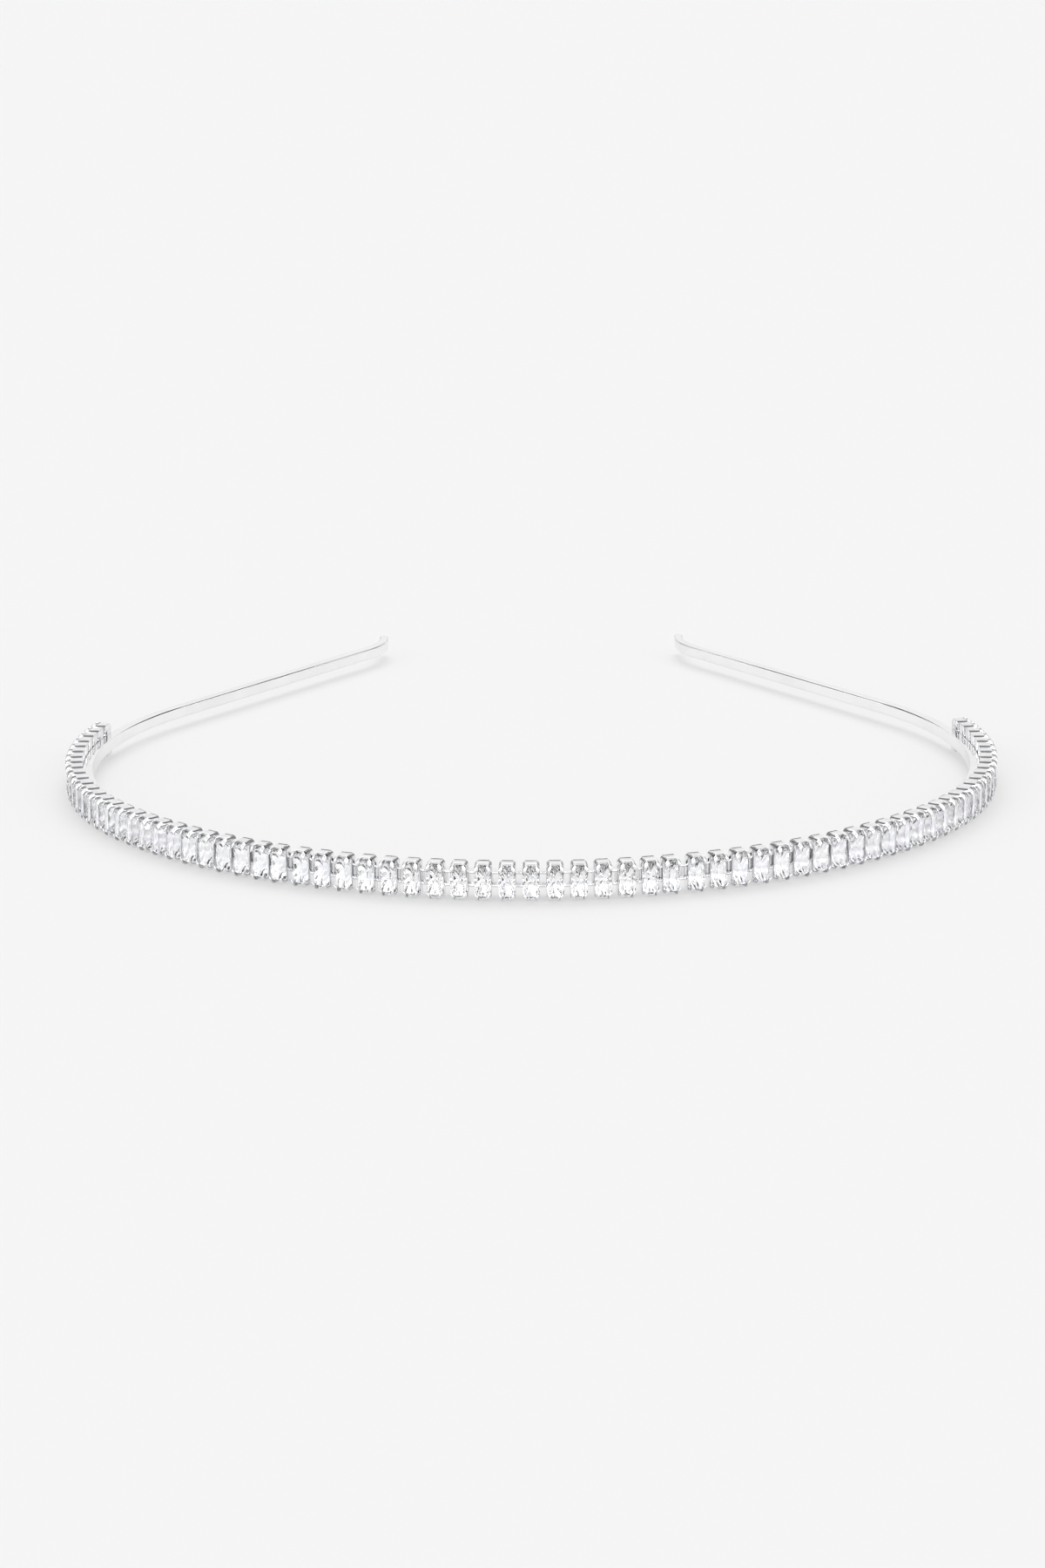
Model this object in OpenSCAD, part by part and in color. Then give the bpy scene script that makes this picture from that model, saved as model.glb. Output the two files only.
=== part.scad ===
// A crystal headband, lying on its side edge as it lies on a table.
// Millimetres. The U of the band is in the X-Y plane with its crown towards -Y and its tips towards +Y.
// Z = 0 is the surface that the settings' lower ends rest on, and X = 0 is the plane of symmetry.
// The seat line is the band's outer face seen from above: lengths along the band are measured on it.

/* [Band] */
// Radius of the crown's arc, on the band's outer face
crown_r = 62; // [58:0.5:66]
// Angle from the middle of the crown to the end of its arc
crown_turn = 53; // [48:1:60]
// Radius of the tighter arc over each ear
side_r = 51; // [47:0.5:56]
// Angle from the middle of the crown to the straight arm
arm_turn = 124; // [118:1:128]
// Length of the straight arm
arm_len = 45; // [34:1:50]
// Radius of the flare that turns each tip outwards, on the band's outer face
flare_r = 12; // [8:0.5:24]
// Angle of that flare
flare_turn = 44; // [20:1:50]
// Thickness of the band, from its outer to its inner face
band_t = 1.3; // [0.9:0.1:1.8]
// Height of the band as it lies
band_h = 1.7; // [1.2:0.1:2.2]
// Width of the slope that breaks the band's long edges
band_edge = 0.3; // [0.1:0.05:0.35]

/* [Crystals] */
// Number of crystals on each side of the middle one
side_count = 37; // [20:1:38]
// Distance between crystals along the band
pitch = 2.76; // [2.6:0.02:3]
// Width of a crystal, along the band
stone_w = 1.96; // [1.8:0.02:1.98]
// Length of a crystal, across the band
stone_l = 4; // [3.6:0.1:4.4]
// Width of the cut that takes each corner of a crystal off
stone_corner = 0.4; // [0.25:0.05:0.5]
// Height of a crystal's girdle above the setting's foot
girdle_h = 1.47; // [1.42:0.01:1.55]
// Height of a crystal's crown, from its girdle to its table
crown_h = 0.65; // [0.5:0.05:0.7]
// Depth of a crystal's pavilion, from its girdle down to its keel
pavilion_h = 1.1; // [0.9:0.05:1.1]

/* [Settings] */
// Outer width of a setting, along the band
setting_w = 2; // [1.98:0.02:2.04]
// Thickness of the end walls and claws
end_wall = 0.21; // [0.16:0.01:0.3]
// Thickness of the side walls
side_wall = 0.14; // [0.1:0.01:0.15]
// Thickness of a setting's floor
floor_t = 0.2; // [0.15:0.01:0.24]
// Height of the side walls above the setting's foot
side_wall_h = 1.15; // [0.9:0.05:1.15]
// Radius of the rounded back of each claw
claw_r = 0.62; // [0.5:0.02:0.7]
// Radius of the round notch between the two claws of an end
notch_r = 0.5; // [0.4:0.02:0.6]
// Diameter of the link wires
link_d = 0.38; // [0.3:0.02:0.44]
// Distance between the two link wires, measured across the band
link_spread = 1.6; // [1.4:0.1:2]

/* [Hidden] */
$fa = 4;
$fs = 0.2;

// Space between a crystal and its setting, and between the settings and the band
fit_gap = 0.04;
glue_gap = 0.03;
// Depth to which a link wire runs into the two walls that it joins
solder = 0.08;
// Extra reach of a cutting shape past what it cuts
past = 0.5;
// Largest turn between two sections of the band, and between those that round its tips
section_turn = 3;
tip_step = 22.5;

// Crystal: the thickness of its girdle, the share of the pavilion's depth at which its facets break, and
// how far they step inwards at the crown's break, at the table, at the pavilion's break and at the keel,
// first for the long sides, then the ends, then the cut corners
girdle_t = 0.1;
pavilion_break = 0.52;
girdle_top = girdle_h + girdle_t / 2;
girdle_bottom = girdle_h - girdle_t / 2;
table_h = girdle_top + crown_h;
side_steps = [0.17, 0.42, 0.38, 0.84];
end_steps = [0.16, 0.42, 0.5, 1.1];
corner_steps = [0.17, 0.44, 0.42, 0.9];

// Setting: its length, the height at which the claws' backs begin to round, the number of flats on that
// round, the height of the notch's centre, the sloped rim of the foot, the cut that takes the corners off
// above the side walls, and the height of the link wires
setting_l = stone_l + 2 * (fit_gap + end_wall);
claw_rise = girdle_top + 0.2;
claw_flats = 4;
notch_h = table_h - 0.12;
foot_edge = 0.12;
claw_corner = 0.25;
link_h = floor_t + link_d / 4;
mid_z = setting_l / 2;

// Unit vectors of the band's plan at an angle from the middle of the crown
function outward(turn) = [sin(turn), -cos(turn)];
function along(turn) = [cos(turn), sin(turn)];

// Centres of the arcs of the right half of the seat line, counted from its front point, and the points
// where its straight arm starts and ends
crown_c = [0, crown_r];
side_c = crown_c + (crown_r - side_r) * outward(crown_turn);
arm_start = side_c + side_r * outward(arm_turn);
arm_end = arm_start + arm_len * along(arm_turn);
flare_c = arm_end + flare_r * outward(arm_turn);
tip_turn = arm_turn - flare_turn;

// Lengths along the seat line from its front point to where each of its stretches ends
function arc_len(r, turn) = r * turn * PI / 180;
function arc_turn(r, length) = length / r * 180 / PI;
crown_s = arc_len(crown_r, crown_turn);
side_s = crown_s + arc_len(side_r, arm_turn - crown_turn);
arm_s = side_s + arm_len;
tip_s = arm_s + arc_len(flare_r, flare_turn);

// Angle and place on the right half of the seat line, at a length from its front point
function turn_at(s) =
    s < crown_s ? arc_turn(crown_r, s) :
    s < side_s ? crown_turn + arc_turn(side_r, s - crown_s) :
    s < arm_s ? arm_turn :
    arm_turn - arc_turn(flare_r, s - arm_s);
function seat_at(s) =
    s < crown_s ? crown_c + crown_r * outward(turn_at(s)) :
    s < side_s ? side_c + side_r * outward(turn_at(s)) :
    s < arm_s ? arm_start + (s - side_s) * along(arm_turn) :
    flare_c - flare_r * outward(turn_at(s));

// Distance that moves the seat line's front point along Y, so that the whole is centred on Y = 0
front_y = -(glue_gap + claw_rise + claw_r);
back_y = seat_at(tip_s)[1] + band_t * cos(tip_turn);
seat_y = -(front_y + back_y) / 2;

// Two crystals sit out of step with the others: their number and how far they are shifted along the band
strays = [[6, -0.3], [-11, -0.25]];
function stray(k) = let (found = [for (row = strays) if (row[0] == k) row[1]]) len(found) > 0 ? found[0] : 0;
function row_place(k) = k * pitch + stray(k);

// Points of an arc, and a half outline mirrored in reverse order so that the two close into one
function arc(centre, r, from, to, steps) =
    [for (i = [0 : steps]) let (a = from + (to - from) * i / steps) centre + r * [cos(a), sin(a)]];
function closed(half) = concat(half, [for (i = [len(half) - 1 : -1 : 0]) [-half[i][0], half[i][1]]]);

// Lengths at which the band's sections stand on the right half. Each tip is rounded by the last of them.
function evenly(from, to, count) = [for (i = [0 : count - 1]) from + (to - from) * i / count];
tip_round = band_h / 2;
section_lengths = concat(
    evenly(0, crown_s, ceil(crown_turn / section_turn)),
    evenly(crown_s, side_s, ceil((arm_turn - crown_turn) / section_turn)),
    [side_s],
    evenly(arm_s, tip_s - tip_round, ceil(flare_turn / section_turn / 2)),
    [for (a = [0 : tip_step : 90 - tip_step]) tip_s - tip_round * (1 - sin(a))]
);

// Share of the band's height that is left at a length: all of it, up to the round of the tip
function height_at(s) = sqrt(1 - pow(max(0, (s - tip_s + tip_round) / tip_round), 2));

// Points of the band's section at a length. It is flat outside and inside, with a slope along each edge.
function section(s, side) =
    let (
        place = seat_at(s),
        out = outward(turn_at(s)),
        half = band_h / 2 * height_at(s),
        low = max(0, half - band_edge),
        corners = [
            [0, -low], [0, low], [-band_edge, half], [band_edge - band_t, half],
            [-band_t, low], [-band_t, -low], [band_edge - band_t, -half], [-band_edge, -half]
        ]
    )
    [for (c = corners) let (p = place + c[0] * out) [side * p[0], seat_y + p[1], mid_z + c[1]]];

// The band is one sweep of its section from the left tip to the right one
module band() {
    count = len(section_lengths);
    rings = concat(
        [for (i = [count - 1 : -1 : 1]) section(section_lengths[i], -1)],
        [for (s = section_lengths) section(s, 1)]
    );
    n = len(rings[0]);
    last = len(rings) - 1;
    walls = [for (i = [0 : last - 1], j = [0 : n - 1])
        [i * n + j, (i + 1) * n + j, (i + 1) * n + (j + 1) % n, i * n + (j + 1) % n]];
    caps = [[for (j = [0 : n - 1]) j], [for (j = [n - 1 : -1 : 0]) last * n + j]];
    color("silver") polyhedron([for (ring = rings) each ring], concat(walls, caps));
}

// Places children in the row, at a length from the middle that is negative on the left.
// Their X runs along the band, Y up across it, and Z outwards from the setting's foot.
module in_row(s) {
    side = s < 0 ? -1 : 1;
    place = seat_at(abs(s));
    translate([side * place[0], place[1], mid_z])
        rotate([0, 0, side * turn_at(abs(s))])
            rotate([90, 0, 0]) translate([0, 0, glue_gap]) children();
}

// Extrudes an outline drawn across the band, X across and Y outwards, to a width along the band
module across(width) {
    rotate([90, 0, 90]) linear_extrude(width, center = true) children();
}

// One setting: a block with the outline of its rounded claws, hollowed out for the crystal
module setting() {
    half = setting_l / 2;
    end = stone_l / 2 + fit_gap;
    outline = concat(
        [[half - foot_edge, 0], [half, foot_edge]],
        arc([half - claw_r, claw_rise], claw_r, 0, 90, claw_flats)
    );
    opening = [
        [end, side_wall_h],
        [end, girdle_top + fit_gap / 2],
        [end - end_steps[0], girdle_top + crown_h / 2 + fit_gap / 2],
        [end - end_steps[1], table_h + fit_gap],
        [end - end_steps[1] - past / 2, table_h + fit_gap + past]
    ];
    difference() {
        across(setting_w) polygon(closed(outline));
        // pocket between the side walls
        translate([-setting_w / 2 + side_wall, -stone_l / 2, floor_t])
            cube([setting_w - 2 * side_wall, stone_l, girdle_h - floor_t]);
        // open space above the side walls, which follows the crystal's ends
        across(2 * setting_w) polygon(closed(opening));
        // round notch that leaves a claw on each side of an end
        translate([0, 0, notch_h])
            rotate([90, 0, 0]) cylinder(r = notch_r, h = 2 * setting_l, center = true);
        // slanted cut along each outer corner of the claws
        for (x = [-1, 1], y = [-1, 1])
            translate([x * setting_w / 2, y * half, side_wall_h])
                cylinder(r = claw_corner, h = table_h, $fn = 4);
    }
}

// The two wires that link setting k with the next one
module links(k) {
    run = row_place(k + 1) - row_place(k) - setting_w;
    in_row((row_place(k) + row_place(k + 1)) / 2)
        for (row = [-1, 1])
            translate([0, row * link_spread / 2, link_h])
                rotate([0, 90, 0]) cylinder(d = link_d, h = run + 2 * solder, center = true);
}

module chain() {
    color("gainsboro") translate([0, seat_y, 0]) {
        for (k = [-side_count : side_count]) in_row(row_place(k)) setting();
        for (k = [-side_count : side_count - 1]) links(k);
    }
}

// A bar with the section of a crystal between two opposite sides, longer than the crystal
module facet_bar(half, steps) {
    profile = [
        [half - steps[3], girdle_bottom - pavilion_h],
        [half - steps[2], girdle_bottom - pavilion_h * pavilion_break],
        [half, girdle_bottom],
        [half, girdle_top],
        [half - steps[0], girdle_top + crown_h / 2],
        [half - steps[1], table_h]
    ];
    rotate([90, 0, 0]) linear_extrude(2 * stone_l, center = true) polygon(closed(profile));
}

// One crystal: sides, ends and corners are cut in two steps on the crown and two on the pavilion
module stone() {
    corner_half = (stone_w + stone_l) / sqrt(8) - stone_corner / sqrt(2);
    intersection() {
        facet_bar(stone_w / 2, side_steps);
        rotate([0, 0, 90]) facet_bar(stone_l / 2, end_steps);
        rotate([0, 0, 45]) facet_bar(corner_half, corner_steps);
        rotate([0, 0, -45]) facet_bar(corner_half, corner_steps);
    }
}

module stones() {
    color("white") translate([0, seat_y, 0])
        for (k = [-side_count : side_count]) in_row(row_place(k)) stone();
}

band();
chain();
stones();
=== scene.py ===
# %% [markdown]
# # A crystal headband, lying on its side edge
# The object is a slim band of silver-coloured metal, open at the back, with a row of 75 oblong crystals along
# its front. Each crystal sits in a small claw setting, and two short wires link each setting with the next.
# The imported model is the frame: it says where each piece is and how large. It is loaded first, and it isn't
# changed. The pieces below are finer surfaces that stand in for its three nodes, worked out from the same
# sizes, and they get the finishes of the real thing.

import bmesh
import bpy
import numpy as np
from mathutils import Matrix, Vector


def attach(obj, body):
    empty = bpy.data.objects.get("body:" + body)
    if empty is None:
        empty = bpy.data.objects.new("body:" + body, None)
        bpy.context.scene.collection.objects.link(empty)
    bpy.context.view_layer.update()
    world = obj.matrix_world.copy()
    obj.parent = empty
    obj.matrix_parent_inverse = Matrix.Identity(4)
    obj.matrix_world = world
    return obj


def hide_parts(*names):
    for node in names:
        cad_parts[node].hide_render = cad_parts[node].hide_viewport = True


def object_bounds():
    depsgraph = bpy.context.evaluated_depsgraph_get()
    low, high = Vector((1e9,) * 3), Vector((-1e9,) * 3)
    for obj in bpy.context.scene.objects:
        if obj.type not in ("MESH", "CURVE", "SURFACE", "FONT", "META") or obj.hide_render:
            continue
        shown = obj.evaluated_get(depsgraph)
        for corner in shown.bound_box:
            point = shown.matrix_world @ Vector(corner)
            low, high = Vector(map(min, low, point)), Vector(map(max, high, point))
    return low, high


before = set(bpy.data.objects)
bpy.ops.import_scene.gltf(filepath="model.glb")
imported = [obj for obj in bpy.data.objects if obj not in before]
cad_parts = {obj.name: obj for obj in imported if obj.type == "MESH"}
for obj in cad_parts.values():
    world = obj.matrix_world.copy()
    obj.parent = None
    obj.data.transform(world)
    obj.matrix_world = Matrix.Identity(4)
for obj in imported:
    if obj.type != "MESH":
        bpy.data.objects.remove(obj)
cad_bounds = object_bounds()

MM = 0.001
scene = bpy.context.scene
low, high = (np.array(corner) / MM for corner in cad_bounds)
print("the frame measures", np.round(high - low, 2), "mm, with the nodes", sorted(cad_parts))

# %% [markdown]
# ## The line that everything sits on
# Seen from above, the band's outer face is one smooth line: a wide arc over the crown of the head, a tighter
# arc over each ear, a straight arm, and a short flare at the tip. A length along this line, counted from the
# middle of the front, is all that is needed to place a crystal or a stretch of the band.
# A drawn curve would also do, but a formula gives the place and the direction at any length, without steps,
# and for a whole array of lengths at once. Sizes are in millimetres and angles in radians.

# %% The seat line
CROWN_R, CROWN_TURN = 62.0, np.radians(53)
SIDE_R, ARM_TURN = 51.0, np.radians(124)
ARM_LEN = 45.0
FLARE_R, FLARE_TURN = 12.0, np.radians(44)
BAND_T, BAND_H = 1.3, 1.7
GLUE_GAP = 0.03
SETTING_REACH = 2.34


def outward(turn):
    """Unit vectors in the plan that point away from the head: (sin, -cos) of the turn."""
    return np.stack([np.sin(turn), -np.cos(turn)], -1)


def forward(turn):
    """Unit vectors in the plan along the line: (cos, sin) of the turn."""
    return np.stack([np.cos(turn), np.sin(turn)], -1)


crown_c = np.array([0, CROWN_R])
side_c = crown_c + (CROWN_R - SIDE_R) * outward(CROWN_TURN)
arm_start = side_c + SIDE_R * outward(ARM_TURN)
arm_end = arm_start + ARM_LEN * forward(ARM_TURN)
flare_c = arm_end + FLARE_R * outward(ARM_TURN)
crown_s = CROWN_R * CROWN_TURN
side_s = crown_s + SIDE_R * (ARM_TURN - CROWN_TURN)
arm_s = side_s + ARM_LEN
tip_s = arm_s + FLARE_R * FLARE_TURN


def seat_line(s):
    """Place and turn at each length s, negative on the left. On an arc the turn grows by length over radius
    and the place is the centre plus the radius times outward; on the arm the place moves straight on."""
    length = np.abs(s)
    stretch = [length < crown_s, length < side_s, length < arm_s]
    turn = np.select(
        stretch,
        [length / CROWN_R, CROWN_TURN + (length - crown_s) / SIDE_R, ARM_TURN],
        ARM_TURN - (length - arm_s) / FLARE_R,
    )
    spots = [
        crown_c + CROWN_R * outward(turn),
        side_c + SIDE_R * outward(turn),
        arm_start + (length - side_s)[..., None] * forward(ARM_TURN),
    ]
    place = np.select([part[..., None] for part in stretch], spots, flare_c - FLARE_R * outward(turn))
    side = np.where(s < 0, -1.0, 1.0)
    return place * np.stack([side, np.ones_like(side)], -1), side * turn


tip_place, tip_turn = seat_line(np.array([tip_s]))
back_y = tip_place[0, 1] + BAND_T * np.cos(tip_turn[0])
SEAT_Y = -(back_y - GLUE_GAP - SETTING_REACH) / 2
print(f"the line runs {tip_s:.2f} mm from the middle to a tip, and its front point is at y = {SEAT_Y:.3f}")

# %% [markdown]
# ## From arrays to meshes
# Every piece is a stack of closed rings of points: a section carried along a path, or an outline that grows
# and shrinks with height. Two neighbouring rings are joined by a belt of four-sided faces, and a face over
# the first and the last ring closes the ends. Building the index arrays once is enough, because a copy of a
# shape uses the same faces with an offset.

# %% Rings and belts
def belt_faces(rings, points):
    """Faces of a stack of rings: point j of ring i joins with its neighbours j + 1 and i + 1, round and round.
    The two end caps are one face each, turned to look outwards."""
    i, j = np.meshgrid(np.arange(rings - 1), np.arange(points), indexing="ij")
    after = (j + 1) % points
    belt = np.stack([i * points + j, i * points + after, (i + 1) * points + after, (i + 1) * points + j], -1)
    caps = np.stack([np.arange(points)[::-1], (rings - 1) * points + np.arange(points)])
    return [belt.reshape(-1, 4), caps]


def joined(shapes):
    """Puts shapes, each an array of points and a list of face arrays, into one, with their numbers moved on."""
    points, faces, start = [], [], 0
    for shape_points, shape_faces in shapes:
        points.append(shape_points)
        faces += [f + start for f in shape_faces]
        start += len(shape_points)
    return np.concatenate(points), faces


print("a belt of 3 rings of 8 points has", [len(f) for f in belt_faces(3, 8)], "faces and caps")

# %% [markdown]
# Blender takes a mesh as plain lists, and one call for each list is the quick way to hand them over: the places,
# the corners of the faces, and where each face starts. A list of values for the points goes in as an attribute,
# which a finish can read later.

# %% A piece from arrays
def make_piece(name, points, faces, material, smooth_angle=None, attributes=None):
    """A mesh object at the origin from points in millimetres and arrays of faces, each with its own number of
    corners. Below smooth_angle, in degrees, the shading runs on over an edge; None keeps every facet flat."""
    mesh = bpy.data.meshes.new(name)
    corners = np.concatenate([f.ravel() for f in faces]).astype(np.int32)
    sizes = np.concatenate([np.full(len(f), f.shape[1]) for f in faces])
    mesh.vertices.add(len(points))
    mesh.vertices.foreach_set("co", (points * MM).astype(np.float32).ravel())
    mesh.loops.add(len(corners))
    mesh.loops.foreach_set("vertex_index", corners)
    mesh.polygons.add(len(sizes))
    mesh.polygons.foreach_set("loop_start", (np.cumsum(sizes) - sizes).astype(np.int32))
    mesh.polygons.foreach_set("use_smooth", np.full(len(sizes), smooth_angle is not None))
    mesh.update(calc_edges=True)
    if smooth_angle is not None:
        mesh.set_sharp_from_angle(angle=np.radians(smooth_angle))
    for label, values in (attributes or {}).items():
        mesh.attributes.new(label, "FLOAT", "POINT").data.foreach_set("value", values.astype(np.float32))
    mesh.materials.append(material)
    piece = bpy.data.objects.new(name, mesh)
    scene.collection.objects.link(piece)
    print(f"{name}: {len(points)} points, {int((sizes - 2).sum())} triangles")
    return piece


print("a piece is made by", make_piece.__name__)

# %% [markdown]
# The settings and the crystals are the same shape 75 times. One is made at its own small origin, and the copies
# are placed along the row with array arithmetic, each turned a little, because no hand sets two stones alike.

# %% Copies along the row
MID_Z = 2.25


def in_row(points, faces, places, tilts, centre):
    """Copies of one shape along the row, one for each length in places. A shape's X runs along the band, its Y up
    across the band, and its Z outwards from the setting's foot, which is a glue line away from the seat line.
    Each copy is first turned a little about its centre by its three small angles in tilts: a small turn adds the
    cross product of the angles and the point's place."""
    seat, turn = seat_line(places)
    out, along = outward(turn), forward(turn)
    points = points[None] + np.cross(tilts[:, None], points[None] - centre)
    plan = (
        seat[:, None]
        + points[..., 0, None] * along[:, None]
        + (points[..., 2, None] + GLUE_GAP) * out[:, None]
    )
    spots = np.stack([plan[..., 0], plan[..., 1] + SEAT_Y, points[..., 1] + MID_Z], -1).reshape(-1, 3)
    offsets = np.arange(len(places))[:, None, None] * points.shape[1]
    return spots, [(f[None] + offsets).reshape(-1, f.shape[1]) for f in faces]


print("the middle of the row lies", MID_Z, "mm above the table")

# %% [markdown]
# ## Camera
# The photograph looks down on the front at a flat angle, from about 40 cm away, with the headband a little
# below the middle of a tall frame. The camera could be moved by eye until the picture agrees. Here its place was
# fitted together with the seat line, so that the row, the arms and the tips fall where the photograph has them.
# It has a 70 mm lens, looks at a point on the table, and needs no shift.

# %% Camera
CAMERA_DISTANCE, CAMERA_PITCH = 406.351, 0.2635
TARGET = np.array([1.2274, -13.155, 0.0])
CAMERA_YAW, CAMERA_ROLL = -0.0046, 0.0068
FOCAL = 70.0

camera_data = bpy.data.cameras.new("camera")
camera_data.lens = FOCAL
camera_data.sensor_width = 36
camera_data.clip_start = 0.02
camera_data.clip_end = 100
camera = bpy.data.objects.new("camera", camera_data)
scene.collection.objects.link(camera)
sin_p, cos_p = np.sin(CAMERA_PITCH), np.cos(CAMERA_PITCH)
stand = Vector((0, TARGET[1] - CAMERA_DISTANCE * cos_p, CAMERA_DISTANCE * sin_p))
back = Vector((0, -cos_p, sin_p))
right = Vector((1, 0, 0))
turn_back = Matrix.Rotation(-CAMERA_YAW, 4, "Z") @ Matrix.Translation(Vector((-TARGET[0], 0, 0)))
axes = Matrix((right, back.cross(right), back)).transposed().to_4x4()
place = Matrix.Translation(stand) @ axes @ Matrix.Rotation(-CAMERA_ROLL, 4, "Z")
camera.matrix_world = turn_back @ place
camera.location *= MM
scene.camera = camera
print("the camera stands at", [round(v, 4) for v in camera.location])

# %% [markdown]
# ## Helpers for the finishes
# A finish is a small graph of nodes. One helper adds a node with its settings, and another starts a node
# group, which keeps an effect that several finishes share in one place, with named inputs and outputs.

# %% Node helpers
def node(tree, kind, inputs=None, **settings):
    """Adds a node, sets its settings, and gives each named input a value or a link."""
    made = tree.nodes.new(kind)
    for name, value in settings.items():
        setattr(made, name, value)
    for socket, value in (inputs or {}).items():
        if isinstance(value, bpy.types.NodeSocket):
            tree.links.new(value, made.inputs[socket])
        else:
            made.inputs[socket].default_value = value
    return made


def math(tree, operation, a, b=0.0):
    """The result of one Math node."""
    return node(tree, "ShaderNodeMath", {0: a, 1: b}, operation=operation).outputs[0]


def smooth_step(tree, value, start, end, low=0.0, high=1.0):
    """A value that eases from low to high while the input goes from start to end."""
    return node(tree, "ShaderNodeMapRange", {"Value": value, "From Min": start, "From Max": end, "To Min": low,
                                             "To Max": high}, interpolation_type="SMOOTHSTEP").outputs[0]


def blend(tree, share, first, second):
    """A colour that goes from the first to the second with a share from 0 to 1."""
    mix = node(tree, "ShaderNodeMix", {"Factor": share, "A": first, "B": second}, data_type="RGBA")
    return mix.outputs["Result"]


def group(name, inputs, outputs):
    """An empty node group with the named sockets, and its input and output nodes."""
    tree = bpy.data.node_groups.new(name, "ShaderNodeTree")
    for label, (kind, value) in inputs.items():
        socket = tree.interface.new_socket(label, in_out="INPUT", socket_type=kind)
        if value is not None:
            socket.default_value = value
    for label, kind in outputs.items():
        tree.interface.new_socket(label, in_out="OUTPUT", socket_type=kind)
    return tree, tree.nodes.new("NodeGroupInput").outputs, tree.nodes.new("NodeGroupOutput").inputs


def use(tree, shared, inputs):
    """The outputs of a node group that is placed in a material with its own values."""
    return node(tree, "ShaderNodeGroup", inputs, node_tree=shared).outputs


def new_material(name):
    """A material with a Principled BSDF, its node tree, and the position on the object in metres."""
    material = bpy.data.materials.new(name)
    material.use_nodes = True
    tree = material.node_tree
    shader = next(n for n in tree.nodes if n.type == "BSDF_PRINCIPLED")
    place = tree.nodes.new("ShaderNodeTexCoord").outputs["Object"]
    return material, tree, shader, place


helpers = (node, math, smooth_step, blend, group, use, new_material)
print("helpers:", ", ".join(helper.__name__ for helper in helpers))

# %% [markdown]
# ## What the two metals share
# Both the band and the settings are plated with a bright, hard, silver-coloured metal. Polished metal is never
# quite even. A polishing wheel leaves fine lines in one direction, and hands leave a thin film in soft clouds.
# Each is a node group, because both metals use it, with its own scale and strength.

# %% Polishing lines and handling film
polishing_lines, gi, go = group(
    "polishing_lines",
    {"Position": ("NodeSocketVector", None), "Lines per mm": ("NodeSocketFloat", 8.0),
     "Stretch": ("NodeSocketVector", None)},
    {"Lines": "NodeSocketFloat"},
)
stretched = node(polishing_lines, "ShaderNodeVectorMath", {0: gi["Position"], 1: gi["Stretch"]},
                 operation="MULTIPLY")
lines = node(polishing_lines, "ShaderNodeTexNoise", {
    "Vector": stretched.outputs[0], "Scale": math(polishing_lines, "MULTIPLY", gi["Lines per mm"], 1000.0),
    "Detail": 3.0, "Roughness": 0.6})
polishing_lines.links.new(smooth_step(polishing_lines, lines.outputs[0], 0.3, 0.7), go["Lines"])

handling_film, gi, go = group(
    "handling_film",
    {"Position": ("NodeSocketVector", None), "Clouds per mm": ("NodeSocketFloat", 0.3)},
    {"Film": "NodeSocketFloat"},
)
clouds = node(handling_film, "ShaderNodeTexNoise", {
    "Vector": gi["Position"], "Scale": math(handling_film, "MULTIPLY", gi["Clouds per mm"], 1000.0),
    "Detail": 4.0, "Roughness": 0.55})
handling_film.links.new(smooth_step(handling_film, clouds.outputs[0], 0.38, 0.66), go["Film"])
print("shared effects:", polishing_lines.name, "and", handling_film.name)

# %% [markdown]
# ## Finish of the band
# The band is polished along its length, so its lines follow it. The mesh carries how far along and how far
# across the band each point is, in an attribute of its own, and the lines are stretched along the first.
# Fingers open the band by its tips each time it is put on, so its shine is softer there.

# %% Band finish
def follow(tree, *labels):
    """A vector from up to three attributes of the mesh, each a length in millimetres, in metres."""
    values = [node(tree, "ShaderNodeAttribute", attribute_name=label).outputs["Fac"] for label in labels]
    joined_up = node(tree, "ShaderNodeCombineXYZ", dict(enumerate(values)))
    return node(tree, "ShaderNodeVectorMath", {0: joined_up.outputs[0], "Scale": MM}, operation="SCALE").outputs[0]


def metal_finish(name, lines_at, stretch, lines_per_mm, clouds_per_mm, bright, dull, sheen, depth):
    """A plated metal. Its colour and gloss go from bright to dull with the film, the lines make it a little
    rougher, and they are also a very fine relief. The sheen is the roughness where it is clean, the roughness
    under the film, and what the lines add."""
    material, tree, shader, place = new_material(name)
    ways = use(tree, polishing_lines, {
        "Position": lines_at(tree, place), "Lines per mm": lines_per_mm, "Stretch": stretch})["Lines"]
    film = use(tree, handling_film, {"Position": place, "Clouds per mm": clouds_per_mm})["Film"]
    tint = blend(tree, film, bright, dull)
    rough = math(tree, "ADD", smooth_step(tree, film, 0.0, 1.0, sheen[0], sheen[1]),
                 math(tree, "MULTIPLY", ways, sheen[2]))
    relief = node(tree, "ShaderNodeBump", {"Height": ways, "Distance": depth * MM, "Strength": 0.6})
    tree.links.new(tint, shader.inputs["Base Color"])
    tree.links.new(rough, shader.inputs["Roughness"])
    tree.links.new(relief.outputs[0], shader.inputs["Normal"])
    shader.inputs["Metallic"].default_value = 1.0
    return material, tree, shader


def linear(red, green, blue):
    """A colour as the shader wants it: linear light, and nothing shines through."""
    return (red, green, blue, 1.0)


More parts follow.
